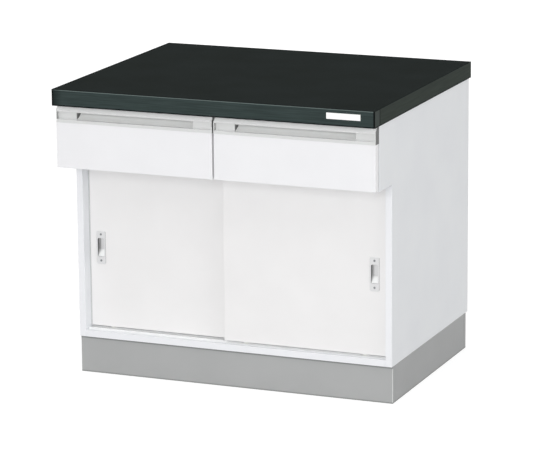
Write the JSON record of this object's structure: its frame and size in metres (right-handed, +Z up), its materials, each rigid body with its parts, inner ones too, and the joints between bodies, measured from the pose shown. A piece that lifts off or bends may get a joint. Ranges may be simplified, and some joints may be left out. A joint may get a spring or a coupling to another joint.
{
  "type": "laboratory bench",
  "caption": "Free-standing laboratory bench: black worktop over handled drawers and a cupboard with sliding doors, on a recessed plinth.",
  "frame": {"origin": "on the floor under the middle of the worktop's outline", "axes": "+X to the right along the bench, +Y to the back, +Z up; the drawers open towards -Y"},
  "size_m": [0.9, 0.75, 0.8],
  "materials": {
    "black_laminate": "fine matt black worktop laminate",
    "core_board": "raw particle board core",
    "white_board": "satin white melamine faced board",
    "grey_board": "satin mid grey melamine faced board",
    "back_board": "white faced hardboard",
    "anodised_aluminium": "satin anodised extrusion",
    "grey_plastic": "moulded light grey plastic",
    "runner_steel": "white powder coated steel",
    "brushed_steel": "brushed stainless steel",
    "white_plastic": "moulded white nylon",
    "grey_rubber": "soft grey buffer strip"
  },
  "bodies": {
    "bench": {"worktop_core": "core_board", "worktop_laminate": "black_laminate", "worktop_nosing": "black_laminate", "worktop_edge_bands": "black_laminate", "label_plate": "white_plastic", "worktop_screws": "brushed_steel", "side_panel_left": "white_board", "side_panel_right": "white_board", "bottom_panel": "white_board", "drawer_deck": "white_board", "drawer_divider": "white_board", "top_rail_front": "white_board", "top_rail_back": "white_board", "back_panel": "back_board", "back_rails": "white_board", "shelf": "white_board", "shelf_pins": "brushed_steel", "plinth_front": "grey_board", "plinth_back": "grey_board", "plinth_sides": "grey_board", "plinth_corner_blocks": "core_board", "door_track_lower": "anodised_aluminium", "door_track_upper": "anodised_aluminium", "door_buffers": "grey_rubber", "cabinet_runners_left": "runner_steel", "cabinet_runners_right": "runner_steel"},
    "drawer_left": {"drawer_front_left": "white_board", "handle_rail_left": "anodised_aluminium", "handle_scoop_left": "grey_plastic", "handle_caps_left": "grey_plastic", "drawer_sides_left": "white_board", "drawer_back_left": "white_board", "drawer_bottom_left": "back_board", "drawer_runners_left": "runner_steel"},
    "front_wheels_left": {"front_wheels_left": "white_plastic"},
    "rear_wheels_left": {"rear_wheels_left": "white_plastic"},
    "door_left": {"door_panel_left": "white_board", "door_pull_left": "brushed_steel", "pull_screws_left": "brushed_steel", "roller_housings_left": "white_plastic", "door_guides_left": "white_plastic"},
    "door_roller_left_outer": {"door_roller_left_outer": "white_plastic"},
    "door_roller_left_inner": {"door_roller_left_inner": "white_plastic"},
    "drawer_right": {"drawer_front_right": "white_board", "handle_rail_right": "anodised_aluminium", "handle_scoop_right": "grey_plastic", "handle_caps_right": "grey_plastic", "drawer_sides_right": "white_board", "drawer_back_right": "white_board", "drawer_bottom_right": "back_board", "drawer_runners_right": "runner_steel"},
    "front_wheels_right": {"front_wheels_right": "white_plastic"},
    "rear_wheels_right": {"rear_wheels_right": "white_plastic"},
    "door_right": {"door_panel_right": "white_board", "door_pull_right": "brushed_steel", "pull_screws_right": "brushed_steel", "roller_housings_right": "white_plastic", "door_guides_right": "white_plastic"},
    "door_roller_right_outer": {"door_roller_right_outer": "white_plastic"},
    "door_roller_right_inner": {"door_roller_right_inner": "white_plastic"}
  },
  "joints": [
    {"name": "drawer_left_slide", "type": "slide", "parent": "bench", "child": "drawer_left", "axis": [0, -1, 0], "range_m": [0, 0.4]},
    {"name": "drawer_right_slide", "type": "slide", "parent": "bench", "child": "drawer_right", "axis": [0, -1, 0], "range_m": [0, 0.4]},
    {"name": "front_wheels_left_turn", "type": "hinge", "parent": "bench", "child": "front_wheels_left", "pos_m": [-0.21925, -0.3195, 0.6155], "axis": [1, 0, 0], "range_deg": [0, 2865]},
    {"name": "rear_wheels_left_turn", "type": "hinge", "parent": "drawer_left", "child": "rear_wheels_left", "pos_m": [-0.21925, 0.1945, 0.6155], "axis": [1, 0, 0], "range_deg": [0, 2865]},
    {"name": "front_wheels_right_turn", "type": "hinge", "parent": "bench", "child": "front_wheels_right", "pos_m": [0.21925, -0.3195, 0.6155], "axis": [1, 0, 0], "range_deg": [0, 2865]},
    {"name": "rear_wheels_right_turn", "type": "hinge", "parent": "drawer_right", "child": "rear_wheels_right", "pos_m": [0.21925, 0.1945, 0.6155], "axis": [1, 0, 0], "range_deg": [0, 2865]},
    {"name": "door_left_slide", "type": "slide", "parent": "bench", "child": "door_left", "axis": [1, 0, 0], "range_m": [0, 0.398]},
    {"name": "door_roller_left_outer_turn", "type": "hinge", "parent": "door_left", "child": "door_roller_left_outer", "pos_m": [-0.3662, -0.2, 0.13], "axis": [0, 1, 0], "range_deg": [0, 2622]},
    {"name": "door_roller_left_inner_turn", "type": "hinge", "parent": "door_left", "child": "door_roller_left_inner", "pos_m": [-0.0312, -0.2, 0.13], "axis": [0, 1, 0], "range_deg": [0, 2622]},
    {"name": "door_right_slide", "type": "slide", "parent": "bench", "child": "door_right", "axis": [1, 0, 0], "range_m": [-0.398, 0]},
    {"name": "door_roller_right_outer_turn", "type": "hinge", "parent": "door_right", "child": "door_roller_right_outer", "pos_m": [0.3662, -0.222, 0.13], "axis": [0, 1, 0], "range_deg": [-2622, 0]},
    {"name": "door_roller_right_inner_turn", "type": "hinge", "parent": "door_right", "child": "door_roller_right_inner", "pos_m": [0.0312, -0.222, 0.13], "axis": [0, 1, 0], "range_deg": [-2622, 0]}
  ],
  "couplings": [
    {"joint": "front_wheels_left_turn", "follows": "drawer_left_slide", "rad_per_m": 125},
    {"joint": "rear_wheels_left_turn", "follows": "drawer_left_slide", "rad_per_m": 125},
    {"joint": "front_wheels_right_turn", "follows": "drawer_right_slide", "rad_per_m": 125},
    {"joint": "rear_wheels_right_turn", "follows": "drawer_right_slide", "rad_per_m": 125},
    {"joint": "door_roller_left_outer_turn", "follows": "door_left_slide", "rad_per_m": 114.94},
    {"joint": "door_roller_left_inner_turn", "follows": "door_left_slide", "rad_per_m": 114.94},
    {"joint": "door_roller_right_outer_turn", "follows": "door_right_slide", "rad_per_m": 114.94},
    {"joint": "door_roller_right_inner_turn", "follows": "door_right_slide", "rad_per_m": 114.94}
  ]
}
